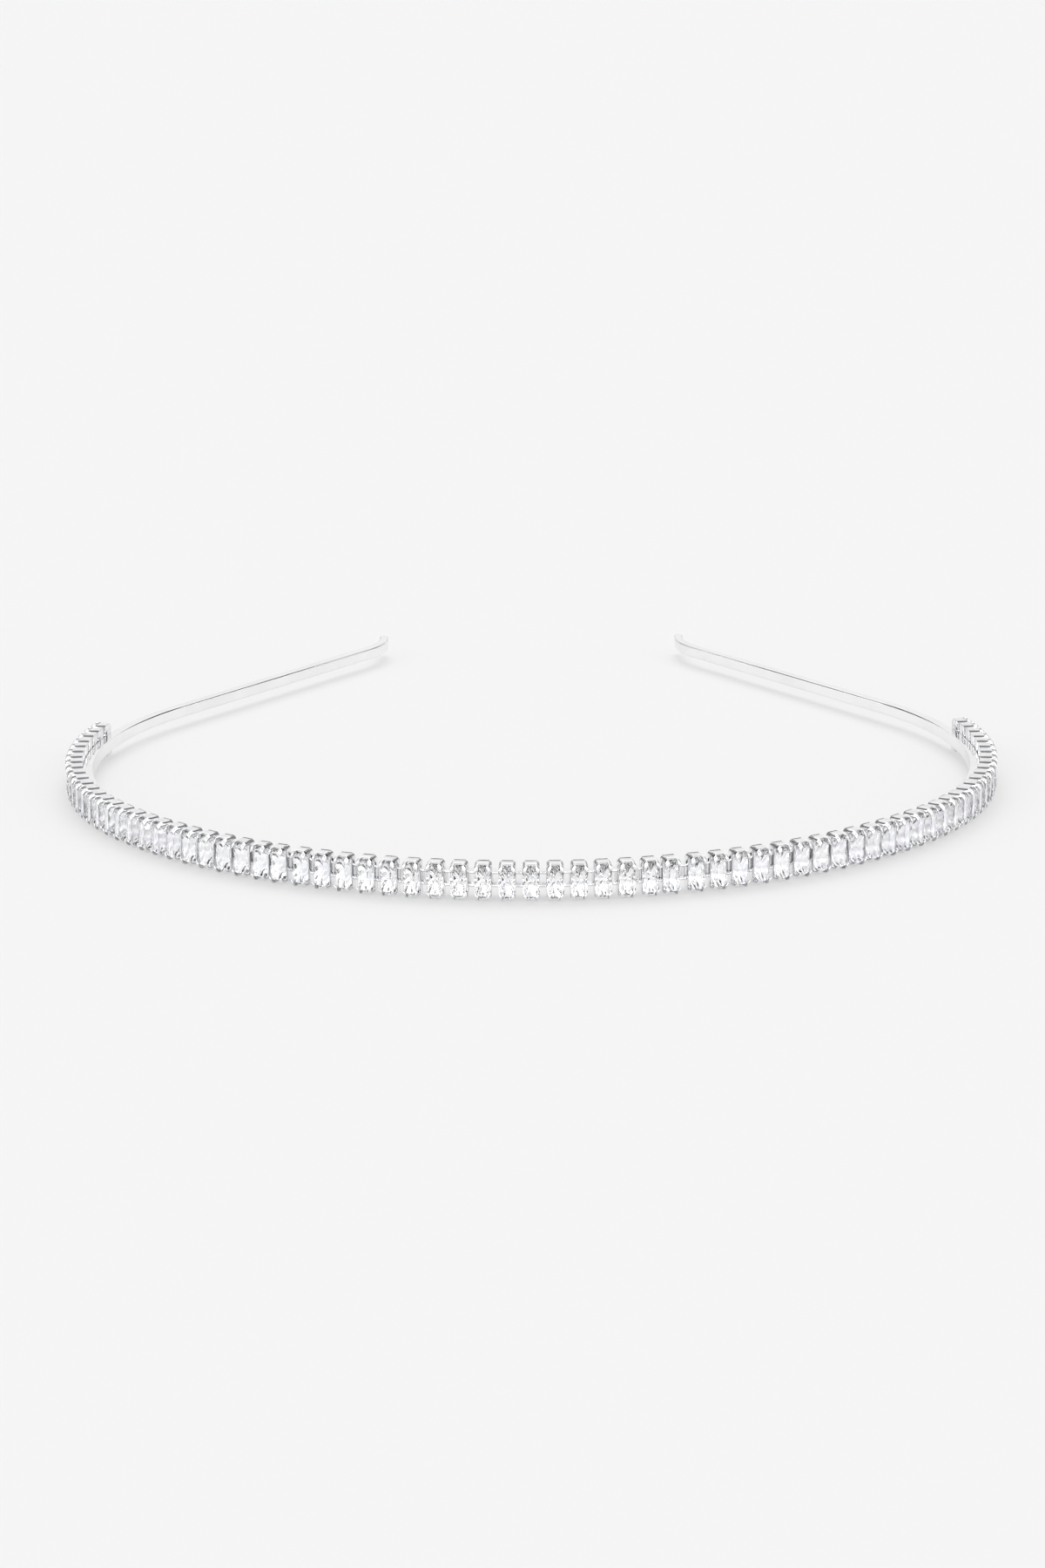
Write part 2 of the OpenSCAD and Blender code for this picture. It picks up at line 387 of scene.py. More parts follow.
HANDLED_FROM, HANDLED_TO, HANDLED_ROUGHER = 143.0, 158.0, 0.22
band_finish, tree, shader = metal_finish(
    "band_finish", lambda tree, place: follow(tree, "along", "across"), stretch=(0.02, 1.0, 1.0), lines_per_mm=9.0,
    clouds_per_mm=0.09, bright=linear(0.95, 0.95, 0.955), dull=linear(0.90, 0.90, 0.91), sheen=(0.07, 0.12, 0.04),
    depth=0.0006)
along = node(tree, "ShaderNodeAttribute", attribute_name="along").outputs["Fac"]
handled = smooth_step(tree, math(tree, "ABSOLUTE", along), HANDLED_FROM, HANDLED_TO, 0.0, HANDLED_ROUGHER)
polished = shader.inputs["Roughness"].links[0].from_socket
tree.links.new(math(tree, "ADD", polished, handled), shader.inputs["Roughness"])
print("made", band_finish.name)

# %% [markdown]
# ## The band
# The band is a slim strip of metal, a little higher than it is thick. It could be a curve with a bevel, but a
# section carried along the seat line stays upright, and each tip can be rounded by its own formula: its height
# shrinks as the height of a circle does, and its thickness does so later. Neither goes quite to nothing, so that
# no face is left without area. On the crown the settings cover it, and its edges are only just broken. On the
# arms they are rounder: there they mirror a black card, as the thin dark line that the photograph shows.

# %% The band's section
def rounded_box_ring(half_x, half_y, radius, steps):
    """Points of a rounded rectangle, anticlockwise: round each corner, the corner's centre plus the radius times
    (cos, sin) of an angle that goes through a quarter turn in equal steps. Sizes may be arrays, for a whole stack
    of rings."""
    half_x, half_y, radius = (np.asarray(v, float)[..., None] for v in (half_x, half_y, radius))
    angle = (np.arange(4)[:, None] * 90 + np.linspace(0, 90, steps)).ravel()
    cos, sin = np.cos(np.radians(angle)), np.sin(np.radians(angle))
    corner_x = np.repeat([1, -1, -1, 1], steps)
    corner_y = np.repeat([1, 1, -1, -1], steps)
    return np.stack([
        corner_x * (half_x - radius) + radius * cos,
        corner_y * (half_y - radius) + radius * sin,
    ], -1)


CROWN_EDGE_R, ARM_EDGE_R = 0.10, 0.26
EDGE_GROWS_FROM, EDGE_GROWS_TO = 100, 112
EDGE_STEPS = 9
print("its edges are rounded by", CROWN_EDGE_R, "mm on the crown and", ARM_EDGE_R, "mm on the arms")

# %% Band
SECTION_STEP = 0.4
TIP_ROUND = BAND_H / 2
TIP_RINGS = 12
TIP_SQUARENESS = 2.5
LEAST_H, LEAST_T, EDGE_LEFT = 0.0004, 0.004, 0.98

straight = np.linspace(-(tip_s - TIP_ROUND), tip_s - TIP_ROUND, int(2 * tip_s / SECTION_STEP))
ease = np.sin(np.linspace(0, np.pi / 2, TIP_RINGS + 1))[1:]
tips = tip_s - TIP_ROUND + TIP_ROUND * ease
lengths = np.concatenate([-tips[::-1], straight, tips])
into_tip = np.clip((np.abs(lengths) - tip_s + TIP_ROUND) / TIP_ROUND, 0, 1)
share = np.sqrt(np.clip(1 - into_tip**2, LEAST_H, 1))
thin = np.sqrt(np.clip(1 - into_tip**TIP_SQUARENESS, LEAST_T, 1))
half_t, half_h = BAND_T / 2 * thin, BAND_H / 2 * share
edge = np.interp(np.abs(lengths), [EDGE_GROWS_FROM, EDGE_GROWS_TO], [CROWN_EDGE_R, ARM_EDGE_R])
edge = np.minimum(edge, EDGE_LEFT * np.minimum(half_t, half_h))
profile = rounded_box_ring(half_h, half_t, edge, EDGE_STEPS)
seat, turn = seat_line(lengths)
offset = profile[..., 1] - BAND_T / 2
plan = seat[:, None] + offset[..., None] * outward(turn)[:, None]
band_points = np.stack([plan[..., 0], plan[..., 1] + SEAT_Y, profile[..., 0] + MID_Z], -1)
ring_len = profile.shape[1]
faces = belt_faces(len(lengths), ring_len)
walk = np.linalg.norm(np.roll(profile, -1, 1) - profile, axis=-1).cumsum(1)
band = make_piece("band_polished", band_points.reshape(-1, 3), faces, band_finish, 40, {
    "along": np.repeat(lengths, ring_len), "across": walk.ravel()})
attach(band, "root")
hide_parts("band")

# %% [markdown]
# ## Finish of the settings
# The settings are stamped and plated, then tumbled until they shine. They have no direction of polish, so
# their lines are short and lie in all directions. Behind the stones, the cups are lined with bright foil, as
# such stones often are, and the foil has a painted glow: light that bounces between facets many times is cut off
# in the render, and the painted glow gives it back. Dark painted shade lies along the sheet's folds, on the rims
# between the claws and on the claws' sides and tips, and there the sheet doesn't mirror. Two attributes of the
# mesh say where: tuck is how deep a point lies in its cup, and the other is how dark the painted shade is there.

# %% Setting finish
FOIL, FOIL_ROUGHNESS, FOIL_PAINTED_GLOW = linear(0.98, 0.98, 0.985), 0.35, linear(0.17, 0.17, 0.175)
# Painted shade: the colour of the dark strips laid on the folds, the rims and the claws' edges.
PAINTED_SHADE_COLOUR = linear(0.03, 0.03, 0.033)
setting_finish, tree, shader = metal_finish(
    "setting_finish", lambda tree, place: place, stretch=(1.0, 1.0, 1.0), lines_per_mm=5.0, clouds_per_mm=0.5,
    bright=linear(0.93, 0.93, 0.94), dull=linear(0.84, 0.845, 0.86), sheen=(0.08, 0.16, 0.05), depth=0.002)
tuck, cut = (node(tree, "ShaderNodeAttribute", attribute_name=label).outputs["Fac"] for label in ("tuck", "cut"))
plate_colour, plate_rough = (shader.inputs[label].links[0].from_socket for label in ("Base Color", "Roughness"))
lined = blend(tree, tuck, plate_colour, FOIL)
rough = node(tree, "ShaderNodeMix", {"Factor": tuck, "A": plate_rough, "B": FOIL_ROUGHNESS}, data_type="FLOAT")
# The painted shade darkens the sheet there and takes its mirror away.
tree.links.new(blend(tree, cut, lined, PAINTED_SHADE_COLOUR), shader.inputs["Base Color"])
tree.links.new(rough.outputs["Result"], shader.inputs["Roughness"])
tree.links.new(math(tree, "SUBTRACT", 1.0, cut), shader.inputs["Metallic"])
# Painted glow: the foil in the cups glows a little, standing in for light that the render's bounces cut off.
tree.links.new(blend(tree, tuck, linear(0, 0, 0), FOIL_PAINTED_GLOW), shader.inputs["Emission Color"])
shader.inputs["Emission Strength"].default_value = 1.0
shader.inputs["Specular IOR Level"].default_value = 0.1
print("made", setting_finish.name)

# %% [markdown]
# ## The claw settings
# A setting is a small tray of thin sheet with four claws, two at each end, that are bent over the crystal. Its
# crystal is a baguette of 2 by 4 mm, and all other sizes follow from it and from the photograph. Two settings
# stand a little out of step with the row, as they do there.

# %% Sizes of a setting
SIDE_COUNT, PITCH = 37, 2.76
STONE_W, STONE_L = 1.96, 4.0
SETTING_W, END_WALL, SIDE_WALL, FLOOR_T = 2.0, 0.21, 0.14, 0.2
FIT_GAP = 0.04
SETTING_L = STONE_L + 2 * (FIT_GAP + END_WALL)
SIDE_WALL_H, END_WALL_H = 1.15, 1.6
CLAW_RISE, CLAW_R = 1.72, 0.62
STRAYS = {6: -0.3, -11: -0.25}

numbers = np.arange(-SIDE_COUNT, SIDE_COUNT + 1)
places = numbers * PITCH
for number, shift in STRAYS.items():
    places[numbers == number] += shift
print(len(places), "settings,", PITCH, "mm apart")

# %% [markdown]
# The tray could be a box with another box cut out of it, but a stack of rings gives the same form as one clean
# surface: an oblong with cut corners that starts as a small one under the floor, grows to the outside, rises to
# the rim, turns inwards and comes down to the floor inside. The rim is higher at the ends, where the claws stand.

# %% The tray's outline
def tray_ring(half_x, half_y, corner):
    """Points round the tray, anticlockwise, for a stack of rings: an oblong whose corners are cut off at 45
    degrees, like the crystal's. A quarter goes from the middle of a long side, along the cut corner, to the middle
    of an end. The other three quarters are its mirror images."""
    shares = np.array([0, 0.42, 0.58, 1])
    between_claws, ease = 0.34, 0.05
    cut_x = half_x[:, None] - corner[:, None] * shares
    cut_y = half_y[:, None] - corner[:, None] * (1 - shares)
    side = np.stack([half_x, half_x], -1), np.stack([0 * half_y, cut_y[:, 0] - ease], -1)
    end = np.stack([0 * half_x + between_claws, 0 * half_x], -1), np.stack([half_y, half_y], -1)
    corner_cut = cut_x, cut_y
    quarter = np.stack([np.concatenate([side[i], corner_cut[i], end[i]], -1) for i in (0, 1)], -1)
    there, back = quarter[..., :-1, :], quarter[..., :0:-1, :]
    return np.concatenate([there, back * [-1, 1], there * -1, back * [1, -1]], -2)


TRAY_FOOT = [0.5, 1.4, 0.10]
print("the tray's outline has", tray_ring(*np.array([TRAY_FOOT]).T).shape[1], "points")

# %% The tray
# Painted shade: how dark the folds and the rims between the claws are painted.
BRIM, FOLD_PAINTED_SHADE, RIM_PAINTED_SHADE = 0.035, 0.95, 0.25


def tray():
    """Rings of the tray's outline, from the middle of the foot out, up the outside, over the rim, down the inside
    and to the middle of the floor. The rim's height eases from that of the side walls to that of the end walls
    with the distance from the middle. Painted shade lies along the middle of each upper cut corner, as a dark line
    where the sheet is folded, and makes the rim darker between the claws, at the upper end only."""
    out_x, out_y = SETTING_W / 2, SETTING_L / 2
    in_x, in_y = out_x - SIDE_WALL, out_y - END_WALL
    step = np.array([
        # half width, half length, cut corner, share of the wall's height, height above that, depth in the cup
        [*TRAY_FOOT, 0, 0.0, 0.0],
        [out_x - 0.09, out_y - 0.10, 0.26, 0, 0.0, 0.0],
        [out_x - 0.03, out_y - 0.035, 0.31, 0, 0.03, 0.0],
        [out_x, out_y, 0.33, 0, 0.10, 0.0],
        [out_x, out_y, 0.33, 1, -BRIM, 0.0],
        [out_x - BRIM / 2, out_y - BRIM / 2, 0.31, 1, -BRIM / 4, 0.0],
        [(out_x + in_x) / 2, (out_y + in_y) / 2, 0.28, 1, 0.0, 0.0],
        [in_x + BRIM / 2, in_y + BRIM / 2, 0.25, 1, -BRIM / 4, 0.3],
        [in_x, in_y, 0.23, 1, -BRIM, 0.6],
        [in_x, in_y, 0.23, 0, FLOOR_T + 0.05, 1.0],
        [in_x - 0.05, in_y - 0.05, 0.21, 0, FLOOR_T, 1.0],
        [*TRAY_FOOT, 0, FLOOR_T, 1.0],
    ])
    ring = tray_ring(step[:, 0], step[:, 1], step[:, 2])
    across, away = np.abs(ring[..., 0]), np.abs(ring[..., 1])
    rise_from, rise_length = in_y - 0.10, 0.12
    reach = np.clip((away - rise_from) / rise_length, 0, 1)
    wall = SIDE_WALL_H + (END_WALL_H - SIDE_WALL_H) * reach**2 * (3 - 2 * reach)
    share, above = step[:, 3, None], step[:, 4, None]
    height = share * wall + above
    points = np.concatenate([ring, height[..., None]], -1)
    deep = np.broadcast_to(step[:, 5, None], height.shape)
    upper, claw_gap = ring[..., 1] > 0, 0.4
    outside = np.isin(np.arange(len(step)), (3, 4))
    mid_corner = np.isin(np.arange(ring.shape[1]) % (ring.shape[1] // 2), (3, 4, 10, 11))
    fold_shade = outside[:, None] & mid_corner & upper
    rim = (share == 1) & (above > -BRIM) & (across < claw_gap) & (reach == 1) & upper
    cut = np.where(fold_shade, FOLD_PAINTED_SHADE, np.where(rim, RIM_PAINTED_SHADE, 0.0))
    return points.reshape(-1, 3), belt_faces(*height.shape), deep.ravel(), cut.ravel()


tray_points, tray_faces, tray_deep, tray_cut = tray()
print("a tray has", len(tray_points), "points")

# %% [markdown]
# A claw is a strip that rises along the end wall, bends over in an arc and ends in a short rounded tongue on the
# crystal. One is worked out, and the other three are its mirror images. Its face is domed, as on real claws that
# have been pressed down with a hollow tool, so that each bend catches a highlight. Painted shade darkens its sides
# and the end of its tip.

# %% A claw
CLAW_FOOT, CLAW_TURN, CLAW_TIP = 1.2, 96, 0.24
CLAW_TONGUE = np.array([0.03, 0.06, 0.09, 0.115, 0.13])
INNER_EDGE, INNER_TAPER, OUTER_EDGE, OUTER_TAPER = 0.42, 0.14, 0.96, 0.04
CLAW_PROUD, CLAW_THINS, BLUNT_LENGTH, DOME_POWER = 0.003, 0.45, 0.1, 0.6
# The painted shade along a claw's sides: its width in mm, and how dark it is.
CORNER_FROM, EDGE_SHADE_WIDTH, EDGE_PAINTED_SHADE = 0.66, 0.01, 0.45


def claw():
    """A strip whose centre line rises along the end wall, follows an arc of a quarter turn and a little more, and
    lies down on the crystal. Its width eases to a tongue, and the tip's width is that of a half circle. Its
    outer face is domed: across it, the height is a power of the sine of an angle. Beyond the start of the cut
    corner it is drawn in by as much as it reaches further out, so it follows the corner's 45 degrees."""
    rise = np.stack([np.full(3, SETTING_L / 2 - END_WALL / 2), np.linspace(CLAW_FOOT, CLAW_RISE, 3)], -1)
    angle = np.radians(np.linspace(0, CLAW_TURN, 8))[1:]
    bend_r = CLAW_R - END_WALL / 2
    centre = np.array([SETTING_L / 2 - CLAW_R, CLAW_RISE])
    bend = centre + bend_r * np.stack([np.cos(angle), np.sin(angle)], -1)
    lean = np.array([-np.sin(angle[-1]), np.cos(angle[-1])])
    tongue = bend[-1] + CLAW_TONGUE[:, None] * lean
    path = np.concatenate([rise, bend, tongue])
    way = np.gradient(path, axis=0)
    way /= np.linalg.norm(way, axis=1, keepdims=True)
    inward = np.stack([-way[:, 1], way[:, 0]], -1)
    walk = np.concatenate([[0], np.linalg.norm(np.diff(path, axis=0), axis=1).cumsum()])
    left = walk[-1] - walk
    slim = np.clip(walk / walk[-1], 0, 1)
    round_off = np.sqrt(np.clip(1 - np.clip(1 - left / CLAW_TIP, 0, 1) ** 2, 0.03, 1))
    inner = INNER_EDGE + INNER_TAPER * slim
    outer = OUTER_EDGE - OUTER_TAPER * slim
    middle, half_w = (inner + outer) / 2, (outer - inner) / 2 * round_off
    blunt = np.sqrt(np.clip(1 - (1 - np.clip(left / BLUNT_LENGTH, 0, 1)) ** 2, 0.15, 1))
    half_t = (END_WALL / 2 + CLAW_PROUD) * (1 - CLAW_THINS * slim**3) * blunt
    arc = np.linspace(0, np.pi, 10)
    dome = np.stack([-np.sin(arc) ** DOME_POWER, np.cos(arc)], -1)
    section = np.concatenate([dome, [[1, -1], [1, 1]]]) * np.stack([half_t, half_w], -1)[:, None]
    x = middle[:, None] + section[..., 1]
    y = path[:, None, 0] + section[..., 0] * inward[:, None, 0] - np.clip(x - CORNER_FROM, 0, None)
    points = np.stack([x, y, path[:, None, 1] + section[..., 0] * inward[:, None, 1]], -1)
    # Painted shade on the claw's two sides and on its last ring.
    painted_edge_shade = np.abs(section[..., 1]) > half_w[:, None] - EDGE_SHADE_WIDTH
    painted_edge_shade[-1] = True
    return points, EDGE_PAINTED_SHADE * painted_edge_shade


one_claw = claw()[0]
print("a claw has", len(one_claw), "rings and ends", one_claw[-1, :, 1].min().round(2), "mm from the middle")

# %% Four claws
def four_claws():
    """The claw, and its mirror images across the setting's two middle planes. A mirror image has its rings run
    the other way round, so that its faces still look outwards."""
    first, painted_edge_shade = claw()
    rings, points = first.shape[:2]
    faces = belt_faces(rings, points)
    shapes, cuts = [], []
    for x, y in ((1, 1), (-1, 1), (1, -1), (-1, -1)):
        way = -1 if x * y < 0 else 1
        shapes.append(((first * [x, y, 1])[:, ::way].reshape(-1, 3), faces))
        cuts.append(painted_edge_shade[:, ::way].ravel())
    return *joined(shapes), np.concatenate(cuts)


claw_points, claw_faces, claw_cut = four_claws()
print("four claws have", len(claw_points), "points")

# %% [markdown]
# Two short wires join each setting to the next. They could be cylinders, but with a belt of rings each can swell
# where solder has run round its ends.

# %% The link wires
LINK_D, LINK_SPREAD, LINK_SIDES = 0.38, 1.6, 12
SOLDER_DEPTH, SOLDER_REACH, SOLDER_SWELL = 0.08, 0.22, 0.35


def links():
    """Two round wires between each setting and the next, at the same distance above and below the middle: a
    circle carried along, which grows at both ends with the square of the nearness to the end."""
    starts, ends = places[:-1] + SETTING_W / 2, places[1:] - SETTING_W / 2
    run = (ends - starts)[:, None, None]
    t = np.array([0, 0.1, 0.22, 0.4, 0.6, 0.78, 0.9, 1.0])[None, :, None]
    grow = 1 + SOLDER_SWELL * np.clip(1 - np.minimum(t, 1 - t) / SOLDER_REACH, 0, 1) ** 2
    angle = np.linspace(0, 2 * np.pi, LINK_SIDES, endpoint=False)[None, None]
    seat, turn = seat_line((starts + ends) / 2)
    out, along = outward(turn), forward(turn)
    shapes = []
    for row in (-1, 1):
        x = np.broadcast_to((t - 0.5) * (run + 2 * SOLDER_DEPTH), (len(run), t.shape[1], LINK_SIDES))
        y = row * LINK_SPREAD / 2 + LINK_D / 2 * grow * np.cos(angle) + 0 * x
        z = FLOOR_T + LINK_D / 4 + LINK_D / 2 * grow * np.sin(angle) + 0 * x
        wire = np.stack([x, y, z], -1).reshape(len(run), -1, 3)
        plan = seat[:, None] + wire[..., 0, None] * along[:, None] + (wire[..., 2, None] + GLUE_GAP) * out[:, None]
        spots = np.stack([plan[..., 0], plan[..., 1] + SEAT_Y, wire[..., 1] + MID_Z], -1)
        steps = np.arange(len(run))[:, None, None] * wire.shape[1]
        faces = [(f[None] + steps).reshape(-1, f.shape[1]) for f in belt_faces(t.shape[1], LINK_SIDES)]
        shapes.append((spots.reshape(-1, 3), faces))
    return joined(shapes)


wires = links()
print("the wires have", len(wires[0]), "points")

# %% [markdown]
# The real chain is soldered into one piece, and here it is one mesh too. Each setting is turned by a fraction of
# a degree, from a seeded random generator, so that each run gives the same headband.

# %% The chain of settings
setting_points, setting_faces = joined([(tray_points, tray_faces), (claw_points, claw_faces)])
SETTING_TILT, STONE_TILT = 0.008, 0.018
hand = np.random.default_rng(75)
setting_tilts = hand.normal(0, SETTING_TILT, (len(places), 3))
cups = in_row(setting_points, setting_faces, places, setting_tilts, [0, 0, FLOOR_T])
chain_points, chain_faces = joined([cups, wires])
none = np.zeros(len(wires[0]))
deep = np.concatenate([np.tile(np.concatenate([tray_deep, 0 * claw_cut]), len(places)), none])
# Painted shade on the trays and the claws, none on the wires.
cut = np.concatenate([np.tile(np.concatenate([tray_cut, claw_cut]), len(places)), none])
chain = make_piece("chain_of_settings", chain_points, chain_faces, setting_finish, 38, {"tuck": deep, "cut": cut})
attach(chain, "root")
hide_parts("chain")

# %% [markdown]
# ## Finish of the crystals
# The crystals are clear glass here: the facets and the foil behind them do most of the work. Their refractive
# index is that of plain crystal glass. With a higher one, light stays inside for more bounces than the render
# follows, and the stones turn dark. A faint blue and lilac tint in soft patches is painted light: it stands for
# the coloured fire that a real crystal splits light into.

# %% Crystal finish
LILAC, BLUE = linear(0.94, 0.93, 1.0), linear(0.92, 0.965, 1.0)
FIRE_SCALE, PATCH_SCALE = 900.0, 260.0
CRYSTAL_IOR = 1.52
crystal_finish, tree, shader, place = new_material("crystal_finish")
# Painted light: the coloured fire is painted into the glass's colour as soft patches.
fire = node(tree, "ShaderNodeTexNoise", {"Vector": place, "Scale": FIRE_SCALE, "Detail": 1.0}).outputs[0]
which = node(tree, "ShaderNodeTexNoise", {"Vector": place, "Scale": PATCH_SCALE, "Detail": 0.0}).outputs[0]
painted_fire_colour = blend(tree, smooth_step(tree, which, 0.42, 0.58), LILAC, BLUE)
painted_fire = blend(tree, smooth_step(tree, fire, 0.5, 0.72), linear(1.0, 1.0, 1.0), painted_fire_colour)
tree.links.new(painted_fire, shader.inputs["Base Color"])
shader.inputs["Transmission Weight"].default_value = 1.0
shader.inputs["Roughness"].default_value = 0.0
shader.inputs["IOR"].default_value = CRYSTAL_IOR
print("made", crystal_finish.name)

# %% [markdown]
# ## The crystals
# A crystal is an oblong with cut corners. Round its flat table, the crown is cut in two rows of three-sided
# facets. Its pavilion, the part inside the cup, has four more rows that narrow to a short keel, and they give
# the bright and dark streaks that show through the table. All of it is a stack of rings with as many points
# each. From ring to ring the points move on by half a step and go up and down a little, so that neighbouring
# facets face different ways. The photograph is too coarse to count facets, so their number is a guess.

# %% The cut of a crystal
GIRDLE_BOTTOM, GIRDLE_TOP, CROWN_H, PAVILION_H = 1.42, 1.52, 0.65, 1.1
CORNER_CUT = 0.4
SIDE_PARTS, END_PARTS = 4, 3
RING = 2 * (SIDE_PARTS + END_PARTS) + 4
CROWN_WAVE, PAVILION_WAVE = 0.06, 0.08
crown_steps = np.array([
    # height above the girdle, and steps inwards of the sides, the ends and the corners
    [CROWN_H, 0.42, 0.42, 0.44],
    [CROWN_H / 2, 0.17, 0.16, 0.17],
    [0.0, 0.0, 0.0, 0.0],
])
pavilion_steps = [
    # shares of the last ring's width and length, share of the whole depth, and share of the wave
    (0.84, 0.90, 0.30, 1.0),
    (0.70, 0.80, 0.60, -1.0),
    (0.50, 0.66, 0.84, 0.5),
    (0.0, 0.55, 1.0, 0.0),
]


def cut_outline(side_in, end_in, corner_in):
    """Points round an oblong with its corners cut off, after its sides, ends and corners have each moved inwards:
    its eight corners, where two of those lines meet, and points that part each end and each side evenly."""
    a, b = STONE_W / 2 - side_in, STONE_L / 2 - end_in
    reach = STONE_W / 2 + STONE_L / 2 - CORNER_CUT - corner_in * np.sqrt(2)
    x = np.stack([a, reach - b, b - reach, -a, -a, b - reach, reach - b, a], -1)
    y = np.stack([reach - a, b, b, reach - a, a - reach, -b, -b, a - reach], -1)
    corners = np.stack([x, y], -1)
    parts = np.array([1, END_PARTS, 1, SIDE_PARTS] * 2)
    first = np.repeat(np.arange(8), parts)
    step = np.arange(RING) - np.repeat(parts.cumsum() - parts, parts)
    share = (step / np.repeat(parts, parts))[:, None]
    return corners[..., first, :] * (1 - share) + corners[..., (first + 1) % 8, :] * share


print("each ring of a crystal has", RING, "points")

# %% A crystal
def turned_in(ring, wide, long, height, wave):
    """The next ring: the middles between the points of the last one, drawn in by a share of its width and a share
    of its length. Every other point lies a little higher and the ones between lie lower, by the wave."""
    middles = (ring + np.roll(ring, -1, 0)) / 2
    lift = wave * np.where(np.arange(len(ring)) % 2, 1.0, -1.0)[:, None]
    return middles * [wide, long, 0] + [0, 0, height] + lift * [0, 0, 1]


def crystal():
    """Points and faces of one crystal, from the table down to the keel. The girdle is a belt of four-sided faces.
    Above and below it each ring is half a step round from the last, so its facets have three sides. The last
    ring lies on the keel's line, where its two halves meet."""
    outline = cut_outline(crown_steps[:, 1], crown_steps[:, 2], crown_steps[:, 3])
    level = np.broadcast_to((GIRDLE_TOP + crown_steps[:, 0])[:, None, None], (3, RING, 1))
    table, bend, rim = np.concatenate([outline, level], -1)
    bend = turned_in(bend, 1.0, 1.0, GIRDLE_TOP + crown_steps[1, 0], CROWN_WAVE)
    rim = np.roll(rim, -1, 0)
    girdle = rim * [1, 1, 0] + [0, 0, GIRDLE_BOTTOM]
    rings = [table, bend, rim, girdle]
    for wide, long, deep, wave in pavilion_steps:
        rings.append(turned_in(rings[-1], wide, long, GIRDLE_BOTTOM - deep * PAVILION_H, wave * PAVILION_WAVE))
    j = np.arange(RING)
    after = (j + 1) % RING
    faces = [j[None]]
    for i in range(len(rings) - 1):
        up, down = RING * i, RING * (i + 1)
        if rings[i] is rim:
            faces.append(np.stack([up + j, down + j, down + after, up + after], -1))
        else:
            faces.append(np.stack([up + j, down + j, up + after], -1))
            faces.append(np.stack([up + after, down + j, down + after], -1))
    return np.concatenate(rings), faces


one_points, one_faces = crystal()
print("a crystal is made of", len(one_points), "points, and its widest is", np.ptp(one_points, 0).round(2), "mm")

# %% [markdown]
# The two halves of the last ring lie on each other along the keel. They are welded, because a glass piece has to
# be one closed surface for light to bend on its way in and out. It could be done by choosing the indices so, but
# Blender's own tool for it is shorter and also takes out the facets that end up without area.

# %% Welding
WELD_WITHIN = 0.0005


def weld(piece):
    """Makes one point of points that lie on each other, and takes out the facets that this leaves without area."""
    shape = bmesh.new()
    shape.from_mesh(piece.data)
    bmesh.ops.remove_doubles(shape, verts=shape.verts, dist=WELD_WITHIN * MM)
    bmesh.ops.dissolve_degenerate(shape, edges=shape.edges, dist=WELD_WITHIN * MM)
    shape.to_mesh(piece.data)
    shape.free()


print("points closer than", WELD_WITHIN, "mm are made one by", weld.__name__)

# %% [markdown]
# The crystals sit in their cups by hand, so each leans a little more than its setting does. That is why no two
# neighbours sparkle alike. The facets stay flat: a crystal with smooth shading would look like a drop of water.

# %% The row of crystals
stone_tilts = setting_tilts + hand.normal(0, STONE_TILT, (len(places), 3))
stone_points, stone_faces = in_row(one_points, one_faces, places, stone_tilts, [0, 0, GIRDLE_TOP])
crystals = make_piece("crystals", stone_points, stone_faces, crystal_finish)
weld(crystals)
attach(crystals, "root")
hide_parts("stones")
print("a crystal has", len(crystals.data.polygons) // len(places), "facets")

# %% [markdown]
# ## Floor and light
# The headband lies on a plain pale table that goes on to the horizon. The table is matt, so that it looks the
# same from all sides. It is lit from within as well as from above: a photographer's light table, which keeps the
# shadows as faint as they are in the photograph.

# %% Floor
FLOOR_SIZE, FLOOR_GREY, FLOOR_GLOW = 60.0, 0.2, 0.535
half = FLOOR_SIZE / 2
floor_mesh = bpy.data.meshes.new("floor")
corners = [(-half, -half, 0), (half, -half, 0), (half, half, 0), (-half, half, 0)]
floor_mesh.from_pydata(corners, [], [(0, 1, 2, 3)])
floor = bpy.data.objects.new("floor", floor_mesh)
scene.collection.objects.link(floor)
table_finish, _, shader, _ = new_material("table_finish")
shader.inputs["Base Color"].default_value = linear(FLOOR_GREY, FLOOR_GREY, FLOOR_GREY)
shader.inputs["Emission Color"].default_value = linear(1.0, 1.0, 1.0)
shader.inputs["Emission Strength"].default_value = FLOOR_GLOW
shader.inputs["Roughness"].default_value = 0.6
shader.inputs["Specular IOR Level"].default_value = 0.0
floor_mesh.materials.append(table_finish)
print("the table is", FLOOR_SIZE, "m wide")

# %% [markdown]
# The light is that of a white tent: soft from everywhere, brightest behind the camera, greyer at its top. A tent
# with no dark in it would make metal and crystals look like milk, so black cards hang in it, as photographers do,
# and every edge and facet finds one of them somewhere. A card is one use of a node group: it darkens a stretch
# of the compass between two heights, with soft edges. The tent could be a real dome of white cloth, but as the
# world's own colour, by direction, it lights the floor evenly as far as it goes. The camera itself sees a plain
# pale wall instead.

